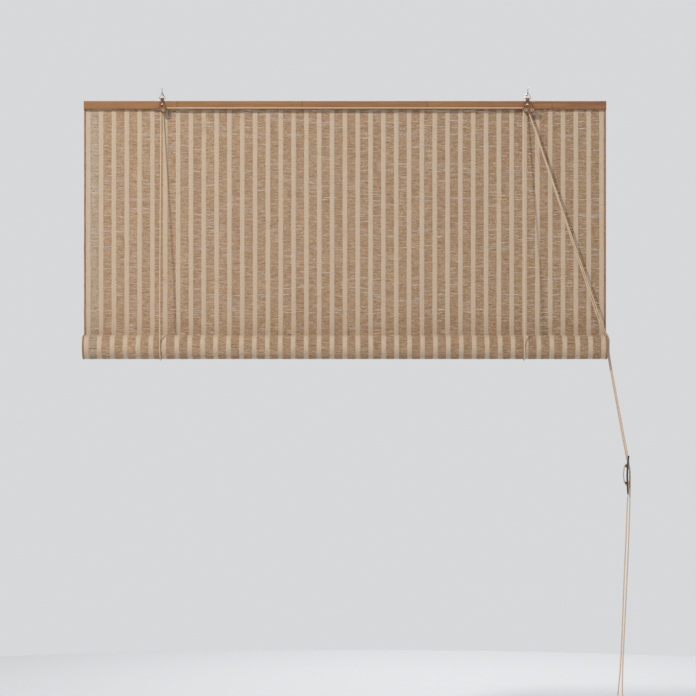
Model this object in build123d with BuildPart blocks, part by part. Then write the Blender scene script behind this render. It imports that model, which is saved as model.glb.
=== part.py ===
from build123d import *
from math import acos, atan2, cos, hypot, pi, radians, sin, tan
import os

# A roll-up jute blind, shown partly raised. Millimetres, +X to the viewer's right, +Y into the wall, +Z up.
# The origin is on the wall, midway between the two wall hooks, at the height of their shanks.

os.makedirs("parts", exist_ok=True)

# Driving dimensions of the blind
WIDTH = 1200.0
HOOK_X = 419.5
RAIL_TOP = -16.0
RAIL_HEIGHT = 19.0
ROLL_RADIUS = 28.0
ROLL_Z = -581.0
RAIL_BOTTOM = RAIL_TOP - RAIL_HEIGHT

# Cloth: jute bands stand proud of the cream stripes between them
CLOTH_Y = -14.5
CLOTH_THICKNESS = 1.0
BAND_RISE = 0.3
BANDS = 40
BAND_PITCH = 29.5
BAND_WIDTH = 18.5
BAND_THICKNESS = CLOTH_THICKNESS + 2 * BAND_RISE
CLOTH_FRONT = CLOTH_Y - BAND_THICKNESS / 2
CLOTH_BACK = CLOTH_Y + BAND_THICKNESS / 2
GAPS_PER_BAND = 3
GAP_WIDTH = 11.0
GAP_HEIGHT = 1.2

# Roll at the bottom, wound towards the viewer on a rod
ROLL_Y = CLOTH_Y - (ROLL_RADIUS - BAND_THICKNESS / 2)
TURN_PITCH = 1.75
TURNS = 10
RING_ROOT = 0.2
ROD_RADIUS = 9.0

# Head slats and what joins them
FRONT_SLAT_DEPTH = 7.5
BACK_SLAT_DEPTH = 5.0
SLAT_FRONT = CLOTH_FRONT - FRONT_SLAT_DEPTH
SLAT_BACK = CLOTH_BACK + BACK_SLAT_DEPTH
NAILS = 7
NAIL_PITCH = 190.0
NAIL_RADIUS = 0.7

# Wheels and the brackets that carry them
WHEEL_Z = -37.6
LOBE_SHIFT = 2.5
WHEEL_SPACING = 14.2
GROOVE_RADIUS = 3.4
FLANGE_RADIUS = 5.6
WHEEL_WIDTH = 8.0
FLANGE_WIDTH = 0.85
RIVET_RADIUS = 2.2
RIVET_BORE = 1.3
RUNNING_GAP = 0.05
BACK_PLATE = 1.0
PLATE = 1.2
WHEEL_BAY = 8.6
LOBE_RADIUS = 6.3
STEM_WIDTH = 14.5
HEAD_RADIUS = 9.5
NECK_WIDTH = 8.0
SCREW_Z = -24.6
SCREW_RADIUS = 1.5
SCREW_HEAD_RADIUS = 3.0
SHELF_Z = -29.6
PLATE_BEND = 1.3
SCREW_SLACK = 0.1
SCREW_DEPTH = 6.0
RIVET_HEAD_RADIUS = 3.7
RIVET_TAIL_RADIUS = 2.5
RIVET_HEAD = 0.6
BACK_PLATE_FRONT = SLAT_FRONT - BACK_PLATE
FLAT_Y = BACK_PLATE_FRONT - PLATE / 2
CHEEK_Y = BACK_PLATE_FRONT - WHEEL_BAY - PLATE / 2
WHEEL_Y = BACK_PLATE_FRONT - WHEEL_BAY / 2
LEFT_WHEEL_X = -HOOK_X + LOBE_SHIFT
INNER_WHEEL_X = HOOK_X + LOBE_SHIFT - WHEEL_SPACING / 2
OUTER_WHEEL_X = HOOK_X + LOBE_SHIFT + WHEEL_SPACING / 2

# Wall hooks and the hanger rings between hook and bracket
HOOK_WIRE = 1.3
HOOK_REACH = 30.0
HOOK_TIP_Z = 13.4
HOOK_BEND = 4.0
HOOK_IN_WALL = 25.0
HOOK_POINT = 3.5
HOOK_CORE = 1.05
RING_WIRE = 0.8
RING_Z = -11.0
RING_HALF_BASE = 8.5
RING_APEX = 4.35
RING_CORNER = 1.6
EYE_BORE = 1.1
EYE_Z = RING_Z - (EYE_BORE - RING_WIRE)
EYE_Y = FLAT_Y - PLATE / 2 + EYE_BORE + PLATE

# Cleat on the wall
CLEAT_X = 649.0
CLEAT_TOP = -830.0
CLEAT_BOTTOM = -919.0
CLEAT_BAR_Y = -20.0
CLEAT_BAR_HALF_WIDTH = 2.0
CLEAT_BAR_HALF_DEPTH = 2.8
POST_SPACING = 40.0
CLEAT_END_ROUND = 1.4
POST_RADIUS = 1.7
PIN_RADIUS = 1.5
PIN_IN_WALL = 22.0
PIN_POINT = 4.0
COLLAR_RADIUS = 4.2
COLLAR = 1.4
CLEAT_Z = (CLEAT_TOP + CLEAT_BOTTOM) / 2

# Cords
CORD = 2.8
CORD_RADIUS = CORD / 2
GROOVE_CLEARANCE = 0.3
ARC_RADIUS = GROOVE_RADIUS + GROOVE_CLEARANCE + CORD_RADIUS
STRAND_SHIFT = CORD_RADIUS + 0.05
CORD_A_Y = WHEEL_Y + STRAND_SHIFT
CORD_B_Y = WHEEL_Y - STRAND_SHIFT
SLING_CLEARANCE = 0.35
SLING_RADIUS = ROLL_RADIUS + SLING_CLEARANCE + CORD_RADIUS
LEFT_CORD_X = LEFT_WHEEL_X - ARC_RADIUS
RIGHT_CORD_X = INNER_WHEEL_X - ARC_RADIUS
ANCHOR_Z = -26.0
ANCHOR_Y = SLAT_BACK + CORD_RADIUS + 0.1
COIL_X, COIL_Y, COIL_Z = 632.0, -12.0, -1430.0
COIL_MEAN_RADIUS = 18.0
COIL_BUNDLE_RADIUS = 8.8
COIL_TIE_WIDTH = 8.4
KNOT_RADIUS = 5.0
ANCHOR_KNOT_RADIUS = 3.2
STAPLE_WIRE = 0.6


def save(part, name):
    """Labels a finished piece and writes it under its own name."""
    part.label = name
    export_step(part, f"parts/{name}.step")


def corner_radii(points):
    """Arc radius at each corner: 0.45 of the shorter run over the tangent of half the turn."""
    radii = []
    for a, b, c in zip(points, points[1:], points[2:]):
        run_in, run_out = Vector(*b) - Vector(*a), Vector(*c) - Vector(*b)
        half_turn = radians(run_in.get_angle(run_out)) / 2
        radii.append(0.45 * min(run_in.length, run_out.length) / tan(half_turn))
    return radii


def cord_tube(name, points, radii=None):
    """A round cord along straight runs joined by tangent arcs."""
    with BuildPart() as tube:
        with BuildLine() as route:
            if len(points) == 2:
                Line(*points)
            else:
                FilletPolyline(*points, radius=radii or corner_radii(points))
        with BuildSketch(Plane(origin=route.wire() @ 0, z_dir=route.wire() % 0)):
            Circle(CORD_RADIUS)
        sweep(path=route.wire())
    save(tube.part, name)
    length = route.wire().length
    share = tube.part.volume / (pi * CORD_RADIUS**2 * length)
    shown = [round(r) for r in (radii or corner_radii(points))] if len(points) > 2 else []
    print(f"{name}: length {length:.1f}, volume share {share:.4f}, radii {shown}")


def tangent_angle(dy, dz, radius, side):
    """Angle on a circle at the origin where a line to the point (dy, dz) leaves it, in radians."""
    return atan2(dz, dy) + side * acos(radius / hypot(dy, dz))


# Head slats: bamboo battens with eased edges
def slat(name, y_low, y_high, ease):
    with BuildPart() as batten:
        with BuildSketch(Plane.YZ):
            with Locations(((y_low + y_high) / 2, RAIL_TOP - RAIL_HEIGHT / 2)):
                RectangleRounded(y_high - y_low, RAIL_HEIGHT, ease)
        extrude(amount=WIDTH / 2, both=True)
        for x in (-HOOK_X, HOOK_X):
            if name == "front_slat":
                with BuildSketch(Plane.XZ.offset(-y_low)):
                    with Locations((x, SCREW_Z)):
                        Circle(SCREW_RADIUS)
                extrude(amount=-SCREW_DEPTH, mode=Mode.SUBTRACT)
    save(batten.part, name)


slat("front_slat", SLAT_FRONT, CLOTH_FRONT, 2.2)
slat("back_slat", CLOTH_BACK, SLAT_BACK, 1.4)

with BuildPart() as nails:
    with BuildSketch(Plane.XZ.offset(-SLAT_BACK)):
        with GridLocations(NAIL_PITCH, 0, NAILS, 1):
            with Locations((0, RAIL_TOP - RAIL_HEIGHT / 2)):
                Circle(2.0)
    extrude(amount=-0.6)
    with BuildSketch(Plane.XZ.offset(-SLAT_BACK)):
        with GridLocations(NAIL_PITCH, 0, NAILS, 1):
            with Locations((0, RAIL_TOP - RAIL_HEIGHT / 2)):
                Circle(NAIL_RADIUS)
    extrude(amount=BACK_SLAT_DEPTH + BAND_THICKNESS + 4.0)
save(nails.part, "slat_nails")

# Hanging cloth: one wall with raised bands, and short open gaps between the wefts of each band
DROP = RAIL_TOP - ROLL_Z
with BuildPart() as cloth:
    with BuildSketch(Plane.XY.offset(ROLL_Z)):
        with Locations((0, CLOTH_Y)):
            Rectangle(WIDTH, CLOTH_THICKNESS)
        with Locations((0, CLOTH_Y)):
            with GridLocations(BAND_PITCH, 0, BANDS, 1):
                Rectangle(BAND_WIDTH, BAND_THICKNESS)
    extrude(amount=DROP)
    with BuildSketch(Plane.XZ.offset(-CLOTH_BACK)):
        for band in range(BANDS):
            x = (band - (BANDS - 1) / 2) * BAND_PITCH
            for row in range(GAPS_PER_BAND):
                z = RAIL_BOTTOM - DROP * (0.22 + 0.27 * row + 0.031 * (band * 5 % 8))
                with Locations((x + 2.5 * (band * 3 % 3 - 1), z)):
                    Rectangle(GAP_WIDTH, GAP_HEIGHT)
    extrude(amount=BAND_THICKNESS, mode=Mode.SUBTRACT)
save(cloth.part, "hanging_cloth")


# Rolled cloth: a spiral of semicircles about two centres, with rings over its outermost bands
def spiral_outline(outer_radius, thickness, half_turns):
    """The wound sheet's edge, from the back of the roll down, round to the front and over the top."""
    outer = [ROLL_Y + outer_radius]
    inner = [outer[0] - thickness]
    for half_turn in range(half_turns):
        side = -1 if half_turn % 2 == 0 else 1
        outer.append(outer[-1] + side * (2 * outer_radius - half_turn * TURN_PITCH))
        inner.append(outer[-1] - side * thickness)
    with BuildSketch(Plane.YZ) as outline:
        with BuildLine():
            for line in (outer, inner):
                for half_turn, (a, b) in enumerate(zip(line, line[1:])):
                    side = -1 if half_turn % 2 == 0 else 1
                    middle = ((a + b) / 2, ROLL_Z + side * abs(b - a) / 2)
                    ThreePointArc((a, ROLL_Z), middle, (b, ROLL_Z))
            Line((outer[0], ROLL_Z), (inner[0], ROLL_Z))
            Line((outer[-1], ROLL_Z), (inner[-1], ROLL_Z))
        make_face()
    return outline.sketch_local


wound_sheet = spiral_outline(ROLL_RADIUS - BAND_RISE, CLOTH_THICKNESS, 2 * TURNS)
band_ring = spiral_outline(ROLL_RADIUS, BAND_RISE + RING_ROOT, 2)
with BuildPart() as roll:
    with BuildSketch(Plane.YZ):
        add(wound_sheet)
    extrude(amount=WIDTH / 2, both=True)
    for band in range(BANDS):
        x = (band - (BANDS - 1) / 2) * BAND_PITCH - BAND_WIDTH / 2
        with BuildSketch(Plane.YZ.offset(x)):
            add(band_ring)
        extrude(amount=BAND_WIDTH)
save(roll.part, "rolled_cloth")

with BuildPart() as rod:
    with BuildSketch(Plane.YZ):
        with Locations((ROLL_Y, ROLL_Z)):
            Circle(ROD_RADIUS)
    extrude(amount=WIDTH / 2, both=True)
    chamfer(rod.edges().filter_by(GeomType.CIRCLE), 0.8)
save(rod.part, "bottom_rod")


# Brackets: a pressed strip hangs from its rolled eye, lies flat on the slat and steps forward over the wheels
def plate_outline(x, wheels, head_radius, lobe_radius):
    """The plate seen from the front: the hull of a disc at the screw and one at each wheel."""
    with BuildSketch(Plane.XZ) as outline:
        with BuildLine():
            CenterArc((x, SCREW_Z), head_radius, 0, 360)
            for wheel in wheels:
                CenterArc((wheel, WHEEL_Z), lobe_radius, 0, 360)
        make_hull()
    return outline.sketch_local


def bracket(side, x, wheels, head_radius, lobe_radius):
    outline = plate_outline(x, wheels, head_radius, lobe_radius)
    with BuildPart() as front:
        with BuildSketch(Plane.YZ.offset(x)):
            with BuildLine():
                FilletPolyline(
                    (FLAT_Y, EYE_Z),
                    (FLAT_Y, SHELF_Z),
                    (CHEEK_Y, SHELF_Z),
                    (CHEEK_Y, WHEEL_Z - 2 * LOBE_RADIUS),
                    radius=PLATE_BEND,
                )
            trace(line_width=PLATE)
            with Locations((EYE_Y, EYE_Z)):
                Circle(EYE_BORE + PLATE)
                Circle(EYE_BORE, mode=Mode.SUBTRACT)
        extrude(amount=2 * WHEEL_SPACING, both=True)
        with BuildSketch(Plane.XZ):
            add(outline)
            with Locations((x, SCREW_Z / 2)):
                Rectangle(NECK_WIDTH, -SCREW_Z)
        extrude(amount=-2 * CHEEK_Y, mode=Mode.INTERSECT)
        with BuildSketch(Plane.XZ.offset(-SLAT_FRONT)):
            with Locations((x, SCREW_Z)):
                Circle(SCREW_RADIUS + SCREW_SLACK)
        extrude(amount=BACK_PLATE + 2 * PLATE, mode=Mode.SUBTRACT)
        with BuildSketch(Plane.XZ.offset(-WHEEL_Y)):
            with Locations(*[(wheel, WHEEL_Z) for wheel in wheels]):
                Circle(RIVET_RADIUS)
        extrude(amount=WHEEL_BAY, mode=Mode.SUBTRACT)
    save(front.part, f"{side}_bracket")
    with BuildPart() as back:
        with BuildSketch(Plane.XZ.offset(-SLAT_FRONT)):
            add(outline)
            with Locations((x, SCREW_Z)):
                Circle(SCREW_RADIUS + SCREW_SLACK, mode=Mode.SUBTRACT)
            with Locations(*[(wheel, WHEEL_Z) for wheel in wheels]):
                Circle(RIVET_RADIUS, mode=Mode.SUBTRACT)
        extrude(amount=BACK_PLATE)
    save(back.part, f"{side}_bracket_back")


bracket("left", -HOOK_X, [LEFT_WHEEL_X], STEM_WIDTH / 2 - 0.5, STEM_WIDTH / 2)
bracket("right", HOOK_X, [INNER_WHEEL_X, OUTER_WHEEL_X], HEAD_RADIUS, LOBE_RADIUS)

# Round-headed wood screws that hold each bracket to the front slat
head_y = FLAT_Y - PLATE / 2
with BuildPart() as screws:
    for x in (-HOOK_X, HOOK_X):
        with BuildSketch(Plane.YZ.offset(x)):
            with BuildLine():
                tip_y = SLAT_FRONT + SCREW_DEPTH - 1.0
                dome = (head_y - 2.0, SCREW_Z)
                Line(dome, (tip_y, SCREW_Z))
                Line((tip_y, SCREW_Z), (tip_y - 2.0, SCREW_Z + SCREW_RADIUS))
                Line((tip_y - 2.0, SCREW_Z + SCREW_RADIUS), (head_y, SCREW_Z + SCREW_RADIUS))
                Line((head_y, SCREW_Z + SCREW_RADIUS), (head_y, SCREW_Z + SCREW_HEAD_RADIUS))
                rim = (head_y - 1.4, SCREW_Z + SCREW_HEAD_RADIUS * 0.72)
                ThreePointArc((head_y, SCREW_Z + SCREW_HEAD_RADIUS), rim, dome)
            make_face()
        revolve(axis=Axis((x, 0, SCREW_Z), (0, 1, 0)))
        with Locations((x, head_y - 2.0, SCREW_Z)):
            Box(2 * SCREW_HEAD_RADIUS, 1.6, 0.8, mode=Mode.SUBTRACT)
save(screws.part, "bracket_screws")

# Hollow rivets that hold the two plates of a bracket together and carry its wheels
cheek_front = CHEEK_Y - PLATE / 2
with BuildPart() as rivets:
    for x in (LEFT_WHEEL_X, INNER_WHEEL_X, OUTER_WHEEL_X):
        with BuildSketch(Plane.XZ.offset(-SLAT_FRONT)):
            with Locations((x, WHEEL_Z)):
                Circle(RIVET_RADIUS)
        extrude(amount=SLAT_FRONT - cheek_front)
        with BuildSketch(Plane.XZ.offset(-cheek_front)):
            with Locations((x, WHEEL_Z)):
                Circle(RIVET_HEAD_RADIUS)
        extrude(amount=RIVET_HEAD, taper=25)
        with BuildSketch(Plane.XZ.offset(-SLAT_FRONT)):
            with Locations((x, WHEEL_Z)):
                Circle(RIVET_TAIL_RADIUS)
        extrude(amount=-RIVET_HEAD)
        with BuildSketch(Plane.XZ.offset(-SLAT_FRONT - 5)):
            with Locations((x, WHEEL_Z)):
                Circle(RIVET_BORE)
        extrude(amount=4 * WHEEL_BAY, mode=Mode.SUBTRACT)
save(rivets.part, "wheel_rivets")

# Grooved wheels, wide enough for two cords side by side
for name, x in (("left_wheel", LEFT_WHEEL_X), ("inner_wheel", INNER_WHEEL_X), ("outer_wheel", OUTER_WHEEL_X)):
    half, groove = WHEEL_WIDTH / 2, WHEEL_WIDTH / 2 - FLANGE_WIDTH
    bore = RIVET_RADIUS + RUNNING_GAP
    with BuildPart() as wheel:
        with BuildSketch(Plane.YZ.offset(x)):
            with BuildLine():
                Polyline(
                    (WHEEL_Y - half, WHEEL_Z + bore),
                    (WHEEL_Y - half, WHEEL_Z + FLANGE_RADIUS),
                    (WHEEL_Y - groove, WHEEL_Z + FLANGE_RADIUS),
                    (WHEEL_Y - groove, WHEEL_Z + GROOVE_RADIUS),
                    (WHEEL_Y + groove, WHEEL_Z + GROOVE_RADIUS),
                    (WHEEL_Y + groove, WHEEL_Z + FLANGE_RADIUS),
                    (WHEEL_Y + half, WHEEL_Z + FLANGE_RADIUS),
                    (WHEEL_Y + half, WHEEL_Z + bore),
                    close=True,
                )
            make_face()
        revolve(axis=Axis((x, 0, WHEEL_Z), (0, 1, 0)))
    save(wheel.part, name)

# Triangular wire rings that hang over the hooks and through the brackets' eyes
for side, x in (("left", -HOOK_X), ("right", HOOK_X)):
    top = HOOK_WIRE + RING_WIRE + 0.02
    with BuildPart() as ring:
        with BuildLine() as triangle:
            left = Vector(x - RING_HALF_BASE, EYE_Y, RING_Z)
            right = Vector(x + RING_HALF_BASE, EYE_Y, RING_Z)
            apex = Vector(x, EYE_Y, RING_APEX)
            FilletPolyline(left, apex, right, radius=[RING_CORNER, top, RING_CORNER], close=True)
        with BuildSketch(Plane(origin=triangle.wire() @ 0, z_dir=triangle.wire() % 0)):
            Circle(RING_WIRE)
        sweep(path=triangle.wire())
    save(ring.part, f"{side}_hanger_ring")

# Square-bent screw hooks: the shank's screw core is in the wall, the tip stands up in front of the ring
for side, x in (("left", -HOOK_X), ("right", HOOK_X)):
    with BuildPart() as hook:
        with BuildLine() as bend:
            FilletPolyline((x, 0, 0), (x, -HOOK_REACH, 0), (x, -HOOK_REACH, HOOK_TIP_Z - HOOK_WIRE), radius=HOOK_BEND)
        with BuildSketch(Plane.XZ):
            with Locations((x, 0)):
                Circle(HOOK_WIRE)
        sweep(path=bend.wire())
        with Locations((x, -HOOK_REACH, HOOK_TIP_Z - HOOK_WIRE)):
            Sphere(HOOK_WIRE)
        with BuildSketch(Plane.XZ):
            with Locations((x, 0)):
                Circle(HOOK_CORE)
        extrude(amount=-(HOOK_IN_WALL - HOOK_POINT))
        with BuildSketch(Plane.XZ.offset(HOOK_POINT - HOOK_IN_WALL)):
            with Locations((x, 0)):
                Circle(HOOK_CORE)
        extrude(amount=-HOOK_POINT, taper=16)
    save(hook.part, f"{side}_wall_hook")

# Cleat: a slim bowed bar on two posts, whose pins are driven into the wall
with BuildPart() as cleat:
    with BuildLine() as bow:
        Spline(
            (CLEAT_X + 2.6, CLEAT_BAR_Y - 2, CLEAT_TOP),
            (CLEAT_X + 0.3, CLEAT_BAR_Y, CLEAT_Z + POST_SPACING / 2),
            (CLEAT_X - 0.3, CLEAT_BAR_Y, CLEAT_Z - POST_SPACING / 2),
            (CLEAT_X + 1.2, CLEAT_BAR_Y - 2, CLEAT_BOTTOM),
        )
    with BuildSketch(Plane(origin=bow.wire() @ 0, x_dir=(1, 0, 0), z_dir=bow.wire() % 0)):
        Ellipse(CLEAT_BAR_HALF_WIDTH, CLEAT_BAR_HALF_DEPTH)
    sweep(path=bow.wire())
    fillet(cleat.faces().filter_by(GeomType.PLANE).edges(), CLEAT_END_ROUND)
    for z in (CLEAT_Z - POST_SPACING / 2, CLEAT_Z + POST_SPACING / 2):
        with BuildSketch(Plane.XZ):
            with Locations((CLEAT_X, z)):
                Circle(POST_RADIUS)
        extrude(amount=-CLEAT_BAR_Y)
        with BuildSketch(Plane.XZ):
            with Locations((CLEAT_X, z)):
                Circle(COLLAR_RADIUS)
        extrude(amount=COLLAR, taper=20)
        with BuildSketch(Plane.XZ):
            with Locations((CLEAT_X, z)):
                Circle(PIN_RADIUS)
        extrude(amount=-(PIN_IN_WALL - PIN_POINT))
        with BuildSketch(Plane.XZ.offset(PIN_POINT - PIN_IN_WALL)):
            with Locations((CLEAT_X, z)):
                Circle(PIN_RADIUS)
        extrude(amount=-PIN_POINT, taper=16)
save(cleat.part, "cleat")


# Lift cords: up the back, under the roll, up the front and over the wheels
def in_roll_plane(x, angle, radius=SLING_RADIUS):
    """A point on a circle about the roll's axis, at an angle from the back, towards the top."""
    return (x, ROLL_Y + radius * cos(angle), ROLL_Z + radius * sin(angle))


def lift_cord(side, x, wheel_y):
    top = (x, wheel_y, WHEEL_Z - 12)
    back_angle = tangent_angle(ANCHOR_Y - ROLL_Y, ANCHOR_Z - ROLL_Z, SLING_RADIUS, -1)
    front_angle = tangent_angle(wheel_y - ROLL_Y, top[2] - ROLL_Z, SLING_RADIUS, 1)
    back, front = in_roll_plane(x, back_angle), in_roll_plane(x, front_angle)
    cord_tube(f"{side}_cord_back", [(x, ANCHOR_Y, ANCHOR_Z), back])
    cord_tube(f"{side}_cord_front", [front, top, (x, wheel_y, WHEEL_Z)])
    with BuildPart() as sling:
        with BuildLine() as under:
            ThreePointArc(back, in_roll_plane(x, -pi / 2), front)
        with BuildSketch(Plane(origin=under.wire() @ 0, z_dir=under.wire() % 0)):
            Circle(CORD_RADIUS)
        sweep(path=under.wire())
    save(sling.part, f"{side}_cord_sling")
    print(f"{side}_cord_sling: length {under.wire().length:.1f}")


lift_cord("left", LEFT_CORD_X, CORD_A_Y)
lift_cord("right", RIGHT_CORD_X, CORD_B_Y)


def on_wheel(x, y, angle):
    """A point on a cord's line round a wheel, at an angle from +X towards +Z."""
    return (x + ARC_RADIUS * cos(angle), y, WHEEL_Z + ARC_RADIUS * sin(angle))


def leaving_angle(target):
    """Where the pull cord leaves the inner wheel on its straight way to target."""
    return tangent_angle(target[0] - INNER_WHEEL_X, target[2] - WHEEL_Z, ARC_RADIUS, 1)


# Routes of the pull cords: straight from the inner wheel to above the roll, round its end, and on to the cleat
JUNCTION_Z = -530.0
ROUND_ROLL_A = [
    (590.6, -25.4, -545.0),
    (602.8, -25.4, -556.5),
    (602.6, -25.6, ROLL_Z),
    (602.8, -25.2, -603.0),
    (645.0, -8.6, -822.0),
]
ROUND_ROLL_B = [
    (595.8, -28.6, -545.5),
    (605.6, -28.6, -556.5),
    (605.4, -28.8, ROLL_Z),
    (605.6, -28.4, -603.0),
    (648.3, -11.8, -822.0),
]
# Round the cleat's posts, one turn and a half, then down to the coil
TAIL_A = [
    (645.0, -8.6, -822.0),
    (648.3, -6.5, -839.0),
    (653.0, -4.9, -853.0),
    (655.0, -4.4, -868.0),
    (655.1, -4.4, -884.0),
    (652.6, -5.1, -898.2),
    (645.6, -6.4, -898.6),
    (641.2, -7.1, -886.0),
    (640.6, -7.4, -870.0),
    (643.0, -8.5, -854.0),
    (647.2, -9.8, -849.6),
    (652.4, -11.0, -851.2),
    (655.0, -10.6, -864.0),
    (655.4, -10.6, -880.0),
    (654.4, -10.9, -897.0),
    (651.6, -10.5, -914.0),
    (649.6, -9.9, -938.0),
    (647.9, -9.8, -985.0),
    (645.6, -9.8, -1040.0),
    (643.0, -9.9, -1095.0),
    (640.7, -10.0, -1150.0),
    (638.7, -10.2, -1205.0),
    (636.5, -10.5, -1260.0),
    (633.9, -10.8, -1315.0),
    (629.6, -11.0, -1364.0),
    (624.4, -10.8, -1408.0),
]
TAIL_B = [
    (648.3, -11.8, -822.0),
    (651.2, -9.8, -839.0),
    (654.1, -8.0, -853.0),
    (655.6, -7.4, -868.0),
    (655.7, -7.4, -884.0),
    (652.9, -8.1, -898.4),
    (645.4, -9.4, -898.8),
    (640.9, -10.1, -886.0),
    (640.2, -10.4, -870.0),
    (642.8, -11.5, -854.0),
    (647.2, -12.8, -849.4),
    (652.6, -14.0, -851.0),
    (655.2, -13.6, -864.0),
    (655.8, -13.6, -880.0),
    (655.7, -13.9, -897.0),
    (655.3, -13.5, -914.0),
    (655.0, -12.9, -938.0),
    (653.7, -12.8, -985.0),
    (651.7, -12.8, -1040.0),
    (649.2, -12.8, -1095.0),
    (646.6, -12.9, -1150.0),
    (643.8, -13.0, -1205.0),
    (641.0, -13.2, -1260.0),
    (638.3, -13.3, -1315.0),
    (637.3, -13.3, -1364.0),
    (640.0, -13.2, -1408.0),
]


def wheel_arcs(name, y, start_x, target):
    """The stretch of a lift cord that lies over the wheels, up to where the pull cord leaves."""
    leave = leaving_angle(target)
    with BuildPart() as tube:
        with BuildLine() as route:
            if start_x == INNER_WHEEL_X:
                start, over = on_wheel(INNER_WHEEL_X, y, pi), on_wheel(INNER_WHEEL_X, y, (pi + leave) / 2)
                ThreePointArc(start, over, on_wheel(INNER_WHEEL_X, y, leave))
            else:
                top, far_top = on_wheel(start_x, y, pi / 2), on_wheel(INNER_WHEEL_X, y, pi / 2)
                ThreePointArc(on_wheel(start_x, y, pi), on_wheel(start_x, y, 0.75 * pi), top)
                Line(top, far_top)
                over = on_wheel(INNER_WHEEL_X, y, (pi / 2 + leave) / 2)
                ThreePointArc(far_top, over, on_wheel(INNER_WHEEL_X, y, leave))
        with BuildSketch(Plane(origin=route.wire() @ 0, z_dir=route.wire() % 0)):
            Circle(CORD_RADIUS)
        sweep(path=route.wire())
    save(tube.part, name)
    print(f"{name}: length {route.wire().length:.1f}")
    return on_wheel(INNER_WHEEL_X, y, leave)


def pull_cord(name, leave, round_roll, tail):
    """One pull cord in three stretches: down to the junction above the roll, on to the cleat, and beyond."""
    share = (JUNCTION_Z - leave[2]) / (round_roll[0][2] - leave[2])
    junction = Vector(*leave) + (Vector(*round_roll[0]) - Vector(*leave)) * share
    cord_tube(f"{name}_upper", [leave, tuple(junction)])
    cord_tube(f"{name}_lower", [tuple(junction), *round_roll])
    cord_tube(f"{name}_tail", tail)


leave_a = wheel_arcs("left_cord_along_head", CORD_A_Y, LEFT_WHEEL_X, ROUND_ROLL_A[0])
leave_b = wheel_arcs("right_cord_over_wheel", CORD_B_Y, INNER_WHEEL_X, ROUND_ROLL_B[0])
pull_cord("pull_cord_a", leave_a, ROUND_ROLL_A, TAIL_A)
pull_cord("pull_cord_b", leave_b, ROUND_ROLL_B, TAIL_B)

# The length of pull cord below, wound into one coil and tied, with both free ends in one knot
with BuildPart(Plane(origin=(COIL_X, COIL_Y, COIL_Z), z_dir=(0, 1, 0))) as coil:
    Torus(COIL_MEAN_RADIUS, COIL_BUNDLE_RADIUS)
save(coil.part, "cord_coil")

with BuildPart() as tie:
    with BuildSketch(Plane.YZ.offset(COIL_X - COIL_TIE_WIDTH / 2)):
        with Locations((COIL_Y, COIL_Z + COIL_MEAN_RADIUS)):
            Circle(COIL_BUNDLE_RADIUS - 0.2 + CORD)
            Circle(COIL_BUNDLE_RADIUS - 0.2, mode=Mode.SUBTRACT)
    extrude(amount=COIL_TIE_WIDTH)
save(tie.part, "cord_tie")

KNOT_Z = COIL_Z - COIL_MEAN_RADIUS - COIL_BUNDLE_RADIUS - 26.0
for name, shift, depth in (("a", -2.2, 1.5), ("b", 2.2, -1.5)):
    end = (COIL_X + shift / 2, COIL_Y + depth, KNOT_Z + 3)
    cord_tube(f"pull_cord_{name}_end", [(COIL_X + shift, COIL_Y + depth, KNOT_Z + 32), end])

with BuildPart() as knot:
    with Locations((COIL_X, COIL_Y, KNOT_Z)):
        Sphere(KNOT_RADIUS)
save(knot.part, "pull_cord_end_knot")

# Behind the head each lift cord ends in a knot above a staple
STAPLE_Z = ANCHOR_Z - 5
with BuildPart() as staples:
    for x in (LEFT_CORD_X, RIGHT_CORD_X):
        legs = CORD_RADIUS + STAPLE_WIRE + 0.1
        with BuildLine() as bend:
            crown_y = ANCHOR_Y + CORD_RADIUS + STAPLE_WIRE
            FilletPolyline(
                (x - legs, SLAT_BACK - 3, STAPLE_Z),
                (x - legs, crown_y, STAPLE_Z),
                (x + legs, crown_y, STAPLE_Z),
                (x + legs, SLAT_BACK - 3, STAPLE_Z),
                radius=1.2,
            )
        with BuildSketch(Plane(origin=bend.wire() @ 0, z_dir=bend.wire() % 0)):
            Circle(STAPLE_WIRE)
        sweep(path=bend.wire())
save(staples.part, "cord_staples")

with BuildPart() as anchors:
    for x in (LEFT_CORD_X, RIGHT_CORD_X):
        with Locations((x, SLAT_BACK + ANCHOR_KNOT_RADIUS, ANCHOR_Z + 2)):
            Sphere(ANCHOR_KNOT_RADIUS)
save(anchors.part, "anchor_knots")
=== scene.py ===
import math

import bpy
import numpy as np
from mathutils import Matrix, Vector


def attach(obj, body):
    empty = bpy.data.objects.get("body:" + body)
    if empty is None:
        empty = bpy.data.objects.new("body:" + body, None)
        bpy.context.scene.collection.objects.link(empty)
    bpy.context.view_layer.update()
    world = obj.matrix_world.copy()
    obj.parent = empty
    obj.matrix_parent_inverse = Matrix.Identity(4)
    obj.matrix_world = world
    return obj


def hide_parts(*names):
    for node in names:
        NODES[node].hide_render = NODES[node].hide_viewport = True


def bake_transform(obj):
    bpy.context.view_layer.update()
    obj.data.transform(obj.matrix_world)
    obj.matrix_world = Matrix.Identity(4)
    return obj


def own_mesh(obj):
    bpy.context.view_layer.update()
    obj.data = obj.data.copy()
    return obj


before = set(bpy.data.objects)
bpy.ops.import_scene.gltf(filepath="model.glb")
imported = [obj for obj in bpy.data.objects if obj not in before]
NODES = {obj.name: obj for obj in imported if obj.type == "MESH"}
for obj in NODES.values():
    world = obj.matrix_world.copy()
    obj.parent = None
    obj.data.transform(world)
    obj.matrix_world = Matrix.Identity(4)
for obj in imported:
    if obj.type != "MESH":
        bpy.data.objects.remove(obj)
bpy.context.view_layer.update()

# Sizes shared with the solids, in metres
WIDTH = 1.2
RAIL_TOP = -0.016
CLOTH_Y = -0.0145
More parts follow.
